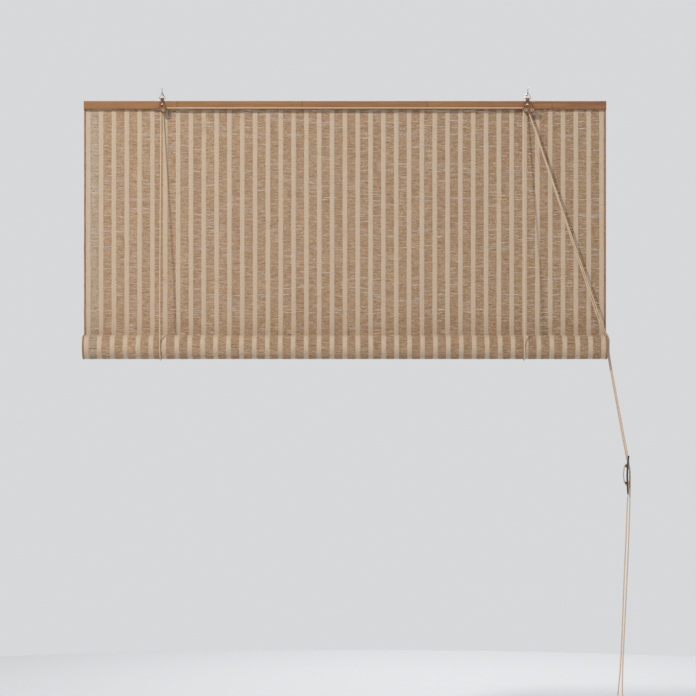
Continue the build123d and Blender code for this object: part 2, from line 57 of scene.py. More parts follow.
SHEET, BAND_RISE = 0.001, 0.0003
BANDS, PITCH, BAND = 40, 0.0295, 0.0185
CREAM = PITCH - BAND
ROLL_Y, ROLL_Z, ROLL_RADIUS = -0.0417, -0.581, 0.028
TURNS, TURN_PITCH = 10, 0.00175
CORD = 0.0028
WHEEL_Y, WHEEL_Z = -0.0281, -0.0376
LEFT_WHEEL_X, INNER_WHEEL_X, OUTER_WHEEL_X = -0.417, 0.4149, 0.4291
ARC_RADIUS = 0.0051
STRAND_SHIFT = 0.00145
CORD_A_Y, CORD_B_Y = WHEEL_Y + STRAND_SHIFT, WHEEL_Y - STRAND_SHIFT
LEFT_CORD_X, RIGHT_CORD_X = LEFT_WHEEL_X - ARC_RADIUS, INNER_WHEEL_X - ARC_RADIUS
SLING_RADIUS = 0.02975
ANCHOR_Y, ANCHOR_Z = -0.0072, -0.026
HOOK_X = 0.4195
RAISE = 0.49


# Colours
def linear(value):
    """One channel, written as 0 to 255, as the linear value that shaders take."""
    share = value / 255
    return share / 12.92 if share < 0.04045 else ((share + 0.055) / 1.055) ** 2.4


def srgb(r, g, b):
    return linear(r), linear(g), linear(b), 1.0


JUTE_LEFT, JUTE_RIGHT, JUTE_PALE = srgb(204, 168, 130), srgb(186, 150, 110), srgb(206, 184, 156)
JUTE_THICK, JUTE_THIN, JUTE_WIDE = srgb(112, 84, 56), srgb(214, 192, 160), srgb(178, 138, 104)
SPECK_DARK, SPECK_PAINTED_GLINT = srgb(104, 72, 42), srgb(232, 208, 172)
COTTON_TONE, COTTON_PALE = srgb(184, 161, 137), srgb(208, 187, 162)
COTTON_RIB, COTTON_CROSS = srgb(162, 138, 114), srgb(168, 144, 120)
SELVAGE_DARK, SELVAGE_LIGHT = srgb(164, 116, 82), srgb(200, 158, 120)
INNER_PAINTED_SHADE = srgb(96, 74, 52)
BAMBOO_LEFT, BAMBOO_RIGHT = srgb(148, 101, 56), srgb(132, 82, 48)
BAMBOO_LIGHT, BAMBOO_FIBRE = srgb(166, 116, 66), srgb(118, 78, 46)
BAMBOO_PATCH, BAMBOO_JOINT = srgb(136, 88, 58), srgb(104, 66, 38)
WOOD_LIGHT, WOOD_DARK = srgb(188, 148, 104), srgb(142, 100, 62)
ENAMEL_BLACK, ENAMEL_WORN = srgb(26, 24, 24), srgb(74, 62, 54)
CORD_LIGHT, CORD_DARK = srgb(230, 206, 176), srgb(196, 166, 132)
BRONZE_DARK, BRONZE_RUBBED = srgb(112, 76, 54), srgb(168, 124, 88)
BRASS_BRIGHT, BRASS_DULL = srgb(196, 158, 92), srgb(150, 112, 60)
WIRE_BRIGHT, WIRE_DULL = srgb(196, 196, 192), srgb(150, 146, 140)
RIVET_RIM, RIVET_BORE_SHADE = srgb(206, 184, 158), srgb(34, 26, 20)
FLOOR_PAINT, BACKDROP = srgb(226, 227, 229), srgb(215, 216, 218)


# Materials
class Shader:
    """A material under way: its node tree and its Principled shader."""

    def __init__(self, name, **sockets):
        self.material = bpy.data.materials.new(name)
        self.material.use_nodes = True
        self.tree = self.material.node_tree
        self.bsdf = self.tree.nodes["Principled BSDF"]
        for socket, value in sockets.items():
            self.bsdf.inputs[socket.replace("_", " ")].default_value = value
        self.coords = self.tree.nodes.new("ShaderNodeTexCoord").outputs["Object"]

    def give(self, socket, value):
        """Links another node's output to this socket, or sets it to a plain value."""
        if isinstance(value, bpy.types.NodeSocket):
            self.tree.links.new(value, socket)
        else:
            socket.default_value = value

    def node(self, kind, inputs, **settings):
        made = self.tree.nodes.new(kind)
        for key, value in settings.items():
            setattr(made, key, value)
        for key, value in inputs.items():
            self.give(made.inputs[key], value)
        return made

    def noise(self, scale, stretch=(1, 1, 1), detail=3.0, rough=0.55):
        """Noise of so many cells a metre, drawn out along the axes with a small stretch value."""
        mapping = self.node("ShaderNodeMapping", {"Vector": self.coords, "Scale": stretch})
        inputs = {"Vector": mapping.outputs[0], "Scale": scale, "Detail": detail, "Roughness": rough}
        return self.node("ShaderNodeTexNoise", inputs).outputs["Fac"]

    def ramp(self, factor, low, high, dark=0.0, light=1.0):
        """The factor's range from low to high, as values from dark to light."""
        inputs = {"Value": factor, "From Min": low, "From Max": high, "To Min": dark, "To Max": light}
        return self.node("ShaderNodeMapRange", inputs).outputs["Result"]

    def along(self, axis):
        return self.node("ShaderNodeSeparateXYZ", {"Vector": self.coords}).outputs[axis]

    def mix(self, factor, a, b):
        """Colour a at factor 0, and b at factor 1. Sockets 6 and 7 are the node's pair for colours."""
        return self.node("ShaderNodeMix", {0: factor, 6: a, 7: b}, data_type="RGBA").outputs[2]

    def maths(self, operation, a, b=0.0):
        return self.node("ShaderNodeMath", {0: a, 1: b}, operation=operation).outputs[0]

    def colour(self, value):
        self.give(self.bsdf.inputs["Base Color"], value)

    def rough(self, factor, low, high):
        self.give(self.bsdf.inputs["Roughness"], self.ramp(factor, 0.3, 0.7, low, high))

    def bump(self, height, distance, strength=1.0):
        made = self.node("ShaderNodeBump", {"Height": height, "Distance": distance, "Strength": strength})
        self.give(self.bsdf.inputs["Normal"], made.outputs[0])


def stripe_share(s):
    """How far across the stripes: 0 in the middle of a cream one, 1 in the middle of a jute band."""
    whole_pitches = 50
    shifted = s.maths("ADD", s.along("X"), whole_pitches * PITCH)
    return s.maths("PINGPONG", s.maths("DIVIDE", shifted, PITCH / 2), 1.0)


def jute_colour(s):
    """Tan jute, darker to the right, paler in the leftmost band, with slubs, dark specks and pale specks
    painted as glints.
    """
    x = s.along("X")
    pale_from, pale_to = -0.560, -0.572
    tone = s.mix(s.ramp(x, -WIDTH / 2, WIDTH / 2), JUTE_LEFT, JUTE_RIGHT)
    tone = s.mix(s.ramp(x, pale_from, pale_to), tone, JUTE_PALE)
    slub = s.noise(420, stretch=(0.16, 0.6, 1.0), detail=4.0, rough=0.6)
    tone = s.mix(s.ramp(slub, 0.52, 0.74, light=0.75), tone, JUTE_THICK)
    tone = s.mix(s.ramp(slub, 0.46, 0.28, light=0.6), tone, JUTE_THIN)
    speck = s.noise(430, stretch=(0.8, 1, 1), detail=2.0, rough=0.7)
    tone = s.mix(s.ramp(speck, 0.55, 0.70, light=0.6), tone, SPECK_DARK)
    # Painted highlight: pale specks that stand in for glints on shiny fibres.
    tone = s.mix(s.ramp(speck, 0.45, 0.30, light=0.5), tone, SPECK_PAINTED_GLINT)
    patch = s.noise(22, stretch=(1.0, 0.1, 0.12), detail=1.0)
    return s.mix(s.ramp(patch, 0.35, 0.65, light=0.3), tone, JUTE_WIDE), slub


def jute_material():
    s = Shader("jute", Roughness=0.92, Sheen_Weight=0.25, Sheen_Roughness=0.6)
    tone, slub = jute_colour(s)
    s.colour(tone)
    fibre = s.noise(2600, stretch=(0.12, 1, 1))
    s.bump(s.maths("ADD", fibre, slub), distance=0.0004, strength=0.8)
    return s.material


def cream_material():
    """Cream cotton with fine ribs along the warp and faint marks of the weft."""
    s = Shader("cream_cotton", Roughness=0.86, Sheen_Weight=0.2, Sheen_Roughness=0.5)
    rib = s.noise(1500, stretch=(1, 1, 0.02), detail=2.0)
    tone = s.mix(s.ramp(rib, 0.35, 0.7, light=0.5), COTTON_TONE, COTTON_RIB)
    tone = s.mix(0.8, tone, COTTON_PALE)
    cross = s.noise(380, stretch=(0.1, 1, 1))
    s.colour(s.mix(s.ramp(cross, 0.55, 0.75, light=0.35), tone, COTTON_CROSS))
    s.bump(rib, distance=0.0004, strength=0.7)
    return s.material


def selvage_material():
    s = Shader("selvage_thread", Roughness=0.9)
    shade = s.ramp(s.noise(500, stretch=(1, 1, 0.4)), 0.35, 0.7)
    s.colour(s.mix(shade, SELVAGE_DARK, SELVAGE_LIGHT))
    s.bump(s.noise(2400, stretch=(1, 1, 0.3)), distance=0.0003)
    return s.material


def inner_roll_material():
    """The inner turns, seen at the roll's ends and between the threads, darkened with painted shade."""
    s = Shader("inner_turns", Roughness=0.95)
    jute, slub = jute_colour(s)
    in_cream = s.maths("LESS_THAN", stripe_share(s), CREAM / PITCH)
    # Painted shade: a fixed mix toward dark brown for the shade inside the roll.
    s.colour(s.mix(0.35, s.mix(in_cream, jute, COTTON_TONE), INNER_PAINTED_SHADE))
    s.bump(slub, distance=0.0004)
    return s.material


def bamboo_material():
    """Stained bamboo, redder at the right end, with a joint line every so often."""
    s = Shader("bamboo", Roughness=0.5, Coat_Weight=0.15, Coat_Roughness=0.35)
    x = s.along("X")
    red_from, red_to = 0.36, 0.46
    joint_pitch, joint_shift, joint_half_share = 0.287, 7.13, 0.0035
    grain = s.noise(260, stretch=(0.03, 1, 1), detail=5.0, rough=0.6)
    fine = s.noise(1400, stretch=(0.02, 1, 1), rough=0.6)
    tone = s.mix(s.ramp(x, red_from, red_to), BAMBOO_LEFT, BAMBOO_RIGHT)
    tone = s.mix(s.ramp(grain, 0.38, 0.66), tone, BAMBOO_LIGHT)
    tone = s.mix(s.ramp(fine, 0.52, 0.78, light=0.65), tone, BAMBOO_FIBRE)
    patch = s.noise(9, detail=2.0)
    tone = s.mix(s.ramp(patch, 0.5, 0.7, light=0.45), tone, BAMBOO_PATCH)
    place = s.maths("FRACT", s.maths("DIVIDE", s.maths("ADD", x, joint_shift), joint_pitch))
    off_joint = s.maths("ABSOLUTE", s.maths("SUBTRACT", place, 0.5))
    joint = s.maths("LESS_THAN", off_joint, joint_half_share)
    s.colour(s.mix(s.maths("MULTIPLY", joint, 0.6), tone, BAMBOO_JOINT))
    s.rough(grain, 0.40, 0.60)
    s.bump(s.maths("SUBTRACT", s.maths("ADD", grain, fine), joint), distance=0.0004, strength=0.7)
    return s.material


def wood_material():
    s = Shader("turned_wood", Roughness=0.65)
    grain = s.noise(300, stretch=(0.03, 1, 1), detail=5.0, rough=0.6)
    s.colour(s.mix(s.ramp(grain, 0.35, 0.7), WOOD_LIGHT, WOOD_DARK))
    s.bump(grain, distance=0.0003)
    return s.material


def metal_material(name, tone, worn, roughness):
    """Metal with duller and brighter patches and fine scratches."""
    s = Shader(name, Metallic=1.0, Roughness=roughness)
    wear = s.noise(180, detail=4.0, rough=0.65)
    s.colour(s.mix(s.ramp(wear, 0.42, 0.68), tone, worn))
    s.rough(wear, roughness + 0.12, roughness - 0.06)
    s.bump(s.noise(1440, stretch=(1, 0.3, 1)), distance=0.00005, strength=0.5)
    return s.material


def rivet_material():
    """Hollow rivets: pale plated rims round a bore painted dark as the shade inside it."""
    s = Shader("hollow_rivet", Metallic=1.0, Roughness=0.3)
    bore_radius = 0.0016
    across = s.node("ShaderNodeMapping", {"Vector": s.coords, "Scale": (1, 0, 1)}).outputs[0]
    in_bore = 0.0
    for x in (LEFT_WHEEL_X, INNER_WHEEL_X, OUTER_WHEEL_X):
        ends = {0: across, 1: (x, 0, WHEEL_Z)}
        gap = s.node("ShaderNodeVectorMath", ends, operation="DISTANCE").outputs["Value"]
        in_bore = s.maths("ADD", in_bore, s.maths("LESS_THAN", gap, bore_radius))
    # Painted shade: the disc over each bore is coloured dark for the shade inside the hole.
    s.colour(s.mix(in_bore, RIVET_RIM, RIVET_BORE_SHADE))
    return s.material


def enamel_material():
    s = Shader("black_enamel", Roughness=0.32, Coat_Weight=0.3, Coat_Roughness=0.2)
    worn = s.noise(240, detail=4.0, rough=0.6)
    s.colour(s.mix(s.ramp(worn, 0.58, 0.74), ENAMEL_BLACK, ENAMEL_WORN))
    s.rough(worn, 0.26, 0.5)
    s.bump(s.noise(900), distance=0.0001, strength=0.4)
    return s.material


def cord_material():
    s = Shader("cotton_cord", Roughness=0.85, Sheen_Weight=0.3, Sheen_Roughness=0.5)
    fluff = s.noise(1800, rough=0.6)
    s.colour(s.mix(s.ramp(fluff, 0.35, 0.7), CORD_LIGHT, CORD_DARK))
    s.bump(fluff, distance=0.0003, strength=0.8)
    return s.material


JUTE = jute_material()
COTTON = cream_material()
SELVAGE = selvage_material()
INNER = inner_roll_material()
BAMBOO = bamboo_material()
WOOD = wood_material()
ENAMEL = enamel_material()
CORD_STUFF = cord_material()
BRONZE = metal_material("bronzed_brass", BRONZE_DARK, BRONZE_RUBBED, roughness=0.42)
PALE_BRASS = rivet_material()
BRASS = metal_material("turned_brass", BRASS_BRIGHT, BRASS_DULL, roughness=0.30)
STEEL = metal_material("bright_wire", WIRE_BRIGHT, WIRE_DULL, roughness=0.24)

for material, names in (
    (BAMBOO, ("front_slat", "back_slat")),
    (WOOD, ("bottom_rod",)),
    (BRONZE, ("left_bracket", "left_bracket_back", "right_bracket", "right_bracket_back")),
    (PALE_BRASS, ("wheel_rivets",)),
    (BRASS, ("left_wheel", "inner_wheel", "outer_wheel")),
    (STEEL, ("bracket_screws", "slat_nails", "cord_staples", "left_hanger_ring", "right_hanger_ring")),
    (STEEL, ("left_wall_hook", "right_wall_hook")),
    (ENAMEL, ("cleat",)),
):
    for name in names:
        data = NODES[name].data
        data.materials.clear()
        data.materials.append(material)


# Meshes
def mesh_object(name, points, faces, material, smooth=True):
    mesh = bpy.data.meshes.new(name)
    mesh.from_pydata(np.asarray(points, float).tolist(), [], faces)
    mesh.materials.append(material)
    mesh.polygons.foreach_set("use_smooth", [smooth] * len(mesh.polygons))
    made = bpy.data.objects.new(name, mesh)
    bpy.context.collection.objects.link(made)
    return made


def tube_faces(rings, sides):
    """Quads of one closed tube of so many rings, and its two end caps."""
    i, j = np.meshgrid(np.arange(rings - 1), np.arange(sides), indexing="ij")
    k = (j + 1) % sides
    corners = [i * sides + j, i * sides + k, (i + 1) * sides + k, (i + 1) * sides + j]
    quads = np.stack(corners, -1).reshape(-1, 4).tolist()
    last_ring = (rings - 1) * sides
    return [*quads, list(range(sides))[::-1], list(range(last_ring, last_ring + sides))]


def tubes(name, sections, material):
    """Closed tubes as one mesh: sections is (tubes, rings, points round, 3)."""
    count, rings, sides = sections.shape[:3]
    one_tube = tube_faces(rings, sides)
    starts = range(0, count * rings * sides, rings * sides)
    faces = [[start + corner for corner in face] for start in starts for face in one_tube]
    return mesh_object(name, sections.reshape(-1, 3), faces, material)


def threads(name, paths, half_depth, half_width, lean, material):
    """Flat threads as one mesh, along paths of (threads, rings, 3); lean is the depth's direction."""
    across = np.cross(np.gradient(paths, axis=1), lean)
    across /= np.linalg.norm(across, axis=2, keepdims=True) + 1e-12
    deep, wide = lean * half_depth[..., None], across * half_width[..., None]
    return tubes(name, np.stack([paths + deep, paths + wide, paths - deep, paths - wide], 2), material)


def smooth_rows(values, times=1):
    for _ in range(times):
        values = (values + np.roll(values, 1, axis=1) + np.roll(values, -1, axis=1)) / 3
    return values


# The weave
TO_WALL = np.array([0.0, 1.0, 0.0])
BAND_MIDDLES = (np.arange(BANDS) - (BANDS - 1) / 2) * PITCH
CREAM_MIDDLES = (np.arange(BANDS + 1) - BANDS / 2) * PITCH
CLOTH_TOP, CLOTH_BOTTOM = RAIL_TOP - 0.0005, ROLL_Z
CLOTH_DROP = CLOTH_TOP - CLOTH_BOTTOM
WEFT_PITCH = 0.0024
UPPER_WEFTS = 154
WEFT_HALF_WIDTH = 0.515 * WEFT_PITCH
WEFT_HALF_DEPTH = 0.00046
WEFT_WANDER = 0.00042
WEFT_BOW = 0.00022
SLUB_SPREAD = 0.22
THICK_SHARE, THICK_MOST = 0.03, 0.8
BOW_PLACES = ((-0.5, 0.0), (-0.17, 1.0), (0.17, -1.0), (0.5, 0.0))
RIBS = 5
RIB_HALF_DEPTH, RIB_RISE, RIB_EDGE = 0.00052, 0.00012, 0.0003
CREAM_WAVE, CREAM_GROWTH = 0.00018, 0.03
WARP_LIFT, WARP_WANDER, WARP_WAVE = 0.00052, 0.0004, 0.00008
WARP_HALF, SELVAGE_HALF = 0.0003, 0.0009
WARP_FLATNESS = 0.7
FRONT_WARPS, BACK_WARPS = (-0.38, -0.02, 0.36), (-0.2, 0.18)
SELVAGE_PLACES = (-0.5988, -0.5968, 0.5968, 0.5988)


def stripe_points():
    """Samples along a weft thread: x, and 0 in cream or the side that the thread bows to in a jute band."""
    xs, bows = [-WIDTH / 2], [0.0]
    for middle in BAND_MIDDLES:
        for share, bow in BOW_PLACES:
            xs.append(middle + share * BAND)
            bows.append(bow)
    xs.append(WIDTH / 2)
    bows.append(0.0)
    return np.array(xs), np.array(bows)


def weft(rng, rows):
    """Half sizes, wander and bow of slubby weft threads, one row of samples to a thread."""
    xs, bows = stripe_points()
    shape = (rows, len(xs))
    slub = np.clip(rng.normal(1.0, SLUB_SPREAD, shape), 0.55, 1.6)
    thick = (rng.random(shape) < THICK_SHARE) * rng.random(shape) * THICK_MOST
    width = WEFT_HALF_WIDTH * (smooth_rows(slub) + smooth_rows(thick)) * rng.normal(1.0, 0.06, (rows, 1))
    depth = WEFT_HALF_DEPTH * smooth_rows(slub) * np.where(bows == 0, 0.8, 1.0)
    wander = smooth_rows(rng.normal(0, WEFT_WANDER, shape), 2)
    phase = np.where(np.arange(rows) % 2 == 0, 1.0, -1.0)[:, None]
    return xs, width, depth, wander, bows * phase * WEFT_BOW


def warp_sizes(rng, half, shape):
    """Half depth and half width of upright threads."""
    width = half * np.clip(rng.normal(1.0, 0.15, shape), 0.6, 1.5)
    return width * WARP_FLATNESS, width


def cream_profile():
    """The cream stripe's cross-section: (across, depth) with a low rib for each group of warp threads."""
    steps = 2 * RIBS
    across = np.linspace(-0.5, 0.5, steps + 1)
    lift = RIB_HALF_DEPTH + RIB_RISE * np.cos(np.pi * np.arange(steps + 1))
    lift[0] = lift[-1] = RIB_EDGE
    front = np.stack([across * CREAM, -lift], -1)
    back = np.stack([across[::-1] * CREAM, lift], -1)
    return np.vstack([front, back])


def cream_widths(rng, profile, rings):
    """The x places of every cream stripe's sections, a little wider or narrower along it."""
    grow = 1 + smooth_rows(rng.normal(0, CREAM_GROWTH, (len(CREAM_MIDDLES), rings)))
    x = CREAM_MIDDLES[:, None, None] + profile[:, 0] * grow[..., None]
    return np.clip(x, -WIDTH / 2, WIDTH / 2)


def band_places(shares):
    return [middle + share * BAND for middle in BAND_MIDDLES for share in shares]


# The hanging cloth: weft threads, cream warp stripes, fine jute warps and the selvages
def flat_weft(seed):
    """The hanging cloth's weft, in an upper and a lower piece."""
    rng = np.random.default_rng(seed)
    rows = int(round(CLOTH_DROP / WEFT_PITCH))
    xs, width, depth, wander, bow = weft(rng, rows)
    z = CLOTH_TOP - (np.arange(rows)[:, None] + 0.5) * WEFT_PITCH + wander
    paths = np.stack([np.broadcast_to(xs, z.shape), CLOTH_Y + bow, z], -1)
    pieces = []
    for name, part in (("jute_weft", slice(UPPER_WEFTS)), ("jute_weft_lower", slice(UPPER_WEFTS, None))):
        pieces.append(threads(name, paths[part], depth[part], width[part], TO_WALL, JUTE))
    return pieces


def flat_cream(name, seed):
    rng = np.random.default_rng(seed)
    rings = 60
    profile = cream_profile()
    wave = smooth_rows(rng.normal(0, CREAM_WAVE, (len(CREAM_MIDDLES), rings)), 2)
    x = cream_widths(rng, profile, rings)
    y = np.broadcast_to(CLOTH_Y + profile[:, 1] + wave[..., None], x.shape)
    z = np.broadcast_to(np.linspace(CLOTH_TOP, CLOTH_BOTTOM, rings)[:, None], x.shape)
    return tubes(name, np.stack([x, y, z], -1), COTTON)


def flat_warp(name, seed, places, side, half, material):
    """Fine upright threads at these x places, on the front (side -1) or the back of the weft."""
    rng = np.random.default_rng(seed)
    rings = 48
    x = np.array(places)[:, None] + smooth_rows(rng.normal(0, WARP_WANDER, (len(places), rings)), 2)
    y = CLOTH_Y + side * WARP_LIFT + smooth_rows(rng.normal(0, WARP_WAVE, x.shape))
    z = np.broadcast_to(np.linspace(CLOTH_TOP, CLOTH_BOTTOM, rings), x.shape)
    return threads(name, np.stack([x, y, z], -1), *warp_sizes(rng, half, x.shape), TO_WALL, material)


cloth, lower_cloth = flat_weft(11)
cloth_pieces = [
    cloth,
    lower_cloth,
    flat_cream("cream_stripes", 12),
    flat_warp("jute_warp_front", 13, band_places(FRONT_WARPS), -1, WARP_HALF, JUTE),
    flat_warp("jute_warp_back", 14, band_places(BACK_WARPS), 1, WARP_HALF, JUTE),
    flat_warp("selvage_threads", 15, SELVAGE_PLACES, -1, SELVAGE_HALF, SELVAGE),
]
for piece in cloth_pieces:
    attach(piece, "head")
    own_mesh(piece)
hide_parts("hanging_cloth")


# The roll: the outermost turn as threads and stripes, the inner turns as one wound sheet
def spiral(turns_from, turns_to, step, shift=0.0):
    """The wound sheet's middle line, from the roll's back down, as rows of y, z, outward y, outward z."""
    outer_radius = ROLL_RADIUS - BAND_RISE
    edges = [ROLL_Y + outer_radius]
    for half_turn in range(2 * turns_to):
        side = -1 if half_turn % 2 == 0 else 1
        edges.append(edges[-1] + side * (2 * outer_radius - half_turn * TURN_PITCH))
    points = []
    for half_turn in range(2 * turns_from, 2 * turns_to):
        a, b = edges[half_turn], edges[half_turn + 1]
        middle, radius = (a + b) / 2, abs(b - a) / 2
        reach = radius - SHEET / 2 + shift
        begin = 0.0 if half_turn % 2 == 0 else -math.pi
        steps = max(8, int(math.pi * radius / step))
        is_last = half_turn == 2 * turns_to - 1
        for i in range(steps + is_last):
            angle = begin - math.pi * i / steps
            out = (math.cos(angle), math.sin(angle))
            points.append((middle + reach * out[0], ROLL_Z + reach * out[1], *out))
    return np.array(points)


def roll_weft(name, seed):
    rng = np.random.default_rng(seed)
    places = spiral(0, 1, WEFT_PITCH)
    rows = len(places)
    xs, width, depth, wander, bow = weft(rng, rows)
    outward = places[:, None, 2:4]
    along = np.stack([-places[:, 3], places[:, 2]], -1)[:, None]
    paths = np.empty((rows, len(xs), 3))
    paths[..., 0] = xs
    paths[..., 1:] = places[:, None, :2] + bow[..., None] * outward + wander[..., None] * along
    lean = np.zeros((rows, 1, 3))
    lean[..., 1:] = outward
    return threads(name, paths, depth, width, lean, JUTE)


def roll_cream(name, seed):
    rng = np.random.default_rng(seed)
    places = spiral(0, 1, 0.0045)
    profile = cream_profile()
    x = cream_widths(rng, profile, len(places))
    out = -profile[:, 1]
    y = np.broadcast_to(places[:, None, 0] + out * places[:, None, 2], x.shape)
    z = np.broadcast_to(places[:, None, 1] + out * places[:, None, 3], x.shape)
    return tubes(name, np.stack([x, y, z], -1), COTTON)


def roll_warp(name, seed, places_x, half, material):
    rng = np.random.default_rng(seed)
    places = spiral(0, 1, 0.005, WARP_LIFT)
    x = np.array(places_x)[:, None] + smooth_rows(rng.normal(0, WARP_WANDER, (len(places_x), len(places))))
    paths = np.empty((*x.shape, 3))
    paths[..., 0] = x
    paths[..., 1:] = places[:, :2]
    lean = np.zeros((1, len(places), 3))
    lean[0, :, 1:] = places[:, 2:4]
    return threads(name, paths, *warp_sizes(rng, half, x.shape), lean, material)


def roll_core(name):
    """The inner turns: one long sheet wound up, closed on every side."""
    half_thickness, inset, step = 0.0004, 0.0006, 0.006
    outer, inner = spiral(1, TURNS, step, half_thickness), spiral(1, TURNS, step, -half_thickness)
    loop = np.vstack([outer[:, :2], inner[::-1, :2]])
    columns = np.linspace(-WIDTH / 2 + inset, WIDTH / 2 - inset, 5)
    points = [(x, y, z) for x in columns for y, z in loop]
    size = len(loop)
    last_column = (len(columns) - 1) * size
    faces = []
    for base in range(0, last_column, size):
        for i in range(size):
            j = (i + 1) % size
            faces.append([base + i, base + j, base + size + j, base + size + i])
    for base, turned in ((0, True), (last_column, False)):
        for i in range(len(outer) - 1):
            quad = [base + i, base + i + 1, base + size - 2 - i, base + size - 1 - i]
            faces.append(quad[::-1] if turned else quad)
    return mesh_object(name, points, faces, INNER)


roll = roll_weft("roll_weft", 21)
core = roll_core("roll_inner_turns")
roll_pieces = [
    roll,
    roll_cream("roll_cream_stripes", 22),
    roll_warp("roll_jute_warp", 23, band_places(FRONT_WARPS), WARP_HALF, JUTE),
    roll_warp("roll_selvage", 24, SELVAGE_PLACES, SELVAGE_HALF, SELVAGE),
    core,
]
for piece in roll_pieces:
    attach(piece, "roll")
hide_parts("rolled_cloth")


# Cords
CORD_STEP = 0.0022
CORD_SIDES = 9
BRAID_RISE = 0.05


def nurbs(name, points):
    """The cord's centreline: a smooth spline with the route's points as its control points."""
    curve = bpy.data.curves.new(name, "CURVE")
    curve.dimensions = "3D"
    spline = curve.splines.new("NURBS")
    spline.points.add(len(points) - 1)
    for place, point in zip(spline.points, points):
        place.co = (*point, 1.0)
    spline.order_u = min(3, len(points))
    spline.use_endpoint_u = True
    curve.resolution_u = 8
    made = bpy.data.objects.new(name, curve)
    line = bpy.data.meshes.new_from_object(made)
    found = np.array([v.co for v in line.vertices])
    bpy.data.objects.remove(made)
    bpy.data.meshes.remove(line)
    keep = np.r_[True, np.linalg.norm(np.diff(found, axis=0), axis=1) > 1e-6]
    return found[keep]


def resample(line, step):
    """The same line with points about this far apart, all of them on it, and its length."""
    gone = np.r_[0, np.cumsum(np.linalg.norm(np.diff(line, axis=0), axis=1))]
    wanted = np.linspace(0, gone[-1], max(2, int(round(gone[-1] / step)) + 1))
    return np.stack([np.interp(wanted, gone, line[:, k]) for k in range(3)], -1), gone[-1]


def cord_rings(line, tangents, first_side, rise):
    """Rings of points along a line, where every third side stands out by turns, as in a braid."""
    tangents = tangents / np.linalg.norm(tangents, axis=1, keepdims=True)
    angles = 2 * np.pi * np.arange(CORD_SIDES) / CORD_SIDES
    side = np.cross(tangents[0], first_side)
    rings = []
    for i, (point, tangent) in enumerate(zip(line, tangents)):
        side = side - tangent * side.dot(tangent)
        side /= np.linalg.norm(side)
        other = np.cross(tangent, side)
        radius = CORD / 2 * (1 + rise * np.cos(CORD_SIDES / 3 * angles + np.pi * (i % 2)))[:, None]
        rings.append(point + radius * (np.cos(angles)[:, None] * side + np.sin(angles)[:, None] * other))
    return np.array(rings)


def cord_mesh(name, points):
    """A braided cord along the spline through these route points, its centreline and its length."""
    line, length = resample(nurbs(name, points), CORD_STEP)
    rings = cord_rings(line, np.gradient(line, axis=0), (0.31, 0.82, 0.48), BRAID_RISE)
    return tubes(name, rings[None], CORD_STUFF), line, length


def declare(node):
    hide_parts(node)


def circle_route(centre, radius, begin, end, steps, x=None, y=None):
    """Control points outside an arc, so that the spline through them runs on it.

    The arc is in the plane of one x, with angles from +Y to +Z, or of one y, with angles from +X to +Z.
    """
    half = (end - begin) / steps / 2
    angles = [begin] + [begin + (2 * i + 1) * half for i in range(steps)] + [end]
    route = []
    for index, angle in enumerate(angles):
        is_end = index in (0, len(angles) - 1)
        reach = radius if is_end else radius / math.cos(half)
        first, z = centre[0] + reach * math.cos(angle), centre[1] + reach * math.sin(angle)
        route.append((x, first, z) if y is None else (first, y, z))
    return route


def tangent_angle(across, up, radius, side):
    """Where a line from a point this far off touches a circle, as an angle about its centre."""
    return math.atan2(up, across) + side * math.acos(radius / math.hypot(across, up))


def squash_up(piece):
    """Hangs a cord from the head, with a mesh of its own."""
    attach(piece, "head")
    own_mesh(piece)


def clear_of_roll(x, wheel_y, front_angle, drop):
    """Points that bow the front cord out, so that it lies on the roll's shoulder when the blind is up."""
    clearance, count = 0.0008, 5
    keep = (drop - RAISE) / drop
    up_z = ROLL_Z + RAISE
    radius = SLING_RADIUS + clearance
    last = tangent_angle(wheel_y - ROLL_Y, WHEEL_Z - up_z, radius, 1)
    points = []
    for step in range(1, count + 1):
        angle = front_angle + (last - front_angle) * step / count
        z = WHEEL_Z + (up_z + radius * math.sin(angle) - WHEEL_Z) / keep
        points.append((x, ROLL_Y + radius * math.cos(angle), z))
    return points


def lift_cord(side, x, wheel_y):
    """Down the back, under the roll and up the front to the wheel."""
    top_z = WHEEL_Z - 0.012
    back_angle = tangent_angle(ANCHOR_Y - ROLL_Y, ANCHOR_Z - ROLL_Z, SLING_RADIUS, -1)
    front_angle = tangent_angle(wheel_y - ROLL_Y, top_z - ROLL_Z, SLING_RADIUS, 1)
    under = circle_route((ROLL_Y, ROLL_Z), SLING_RADIUS, back_angle, front_angle - 2 * math.pi, 12, x=x)
    back_z, front_z = under[0][2], under[-1][2]
    back, line, length = cord_mesh(f"{side}_lift_cord_back", [(x, ANCHOR_Y, ANCHOR_Z), under[0]])
    declare(f"{side}_cord_back")
    squash_up(back)
    sling, line, length = cord_mesh(f"{side}_lift_cord_sling", under)
    declare(f"{side}_cord_sling")
    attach(sling, "carriage")
    bowed = clear_of_roll(x, wheel_y, front_angle, WHEEL_Z - front_z)
    route = [under[-1], *bowed, (x, wheel_y, top_z), (x, wheel_y, WHEEL_Z)]
    front, line, length = cord_mesh(f"{side}_lift_cord_front", route)
    declare(f"{side}_cord_front")
    squash_up(front)


lift_cord("left", LEFT_CORD_X, CORD_A_Y)
lift_cord("right", RIGHT_CORD_X, CORD_B_Y)

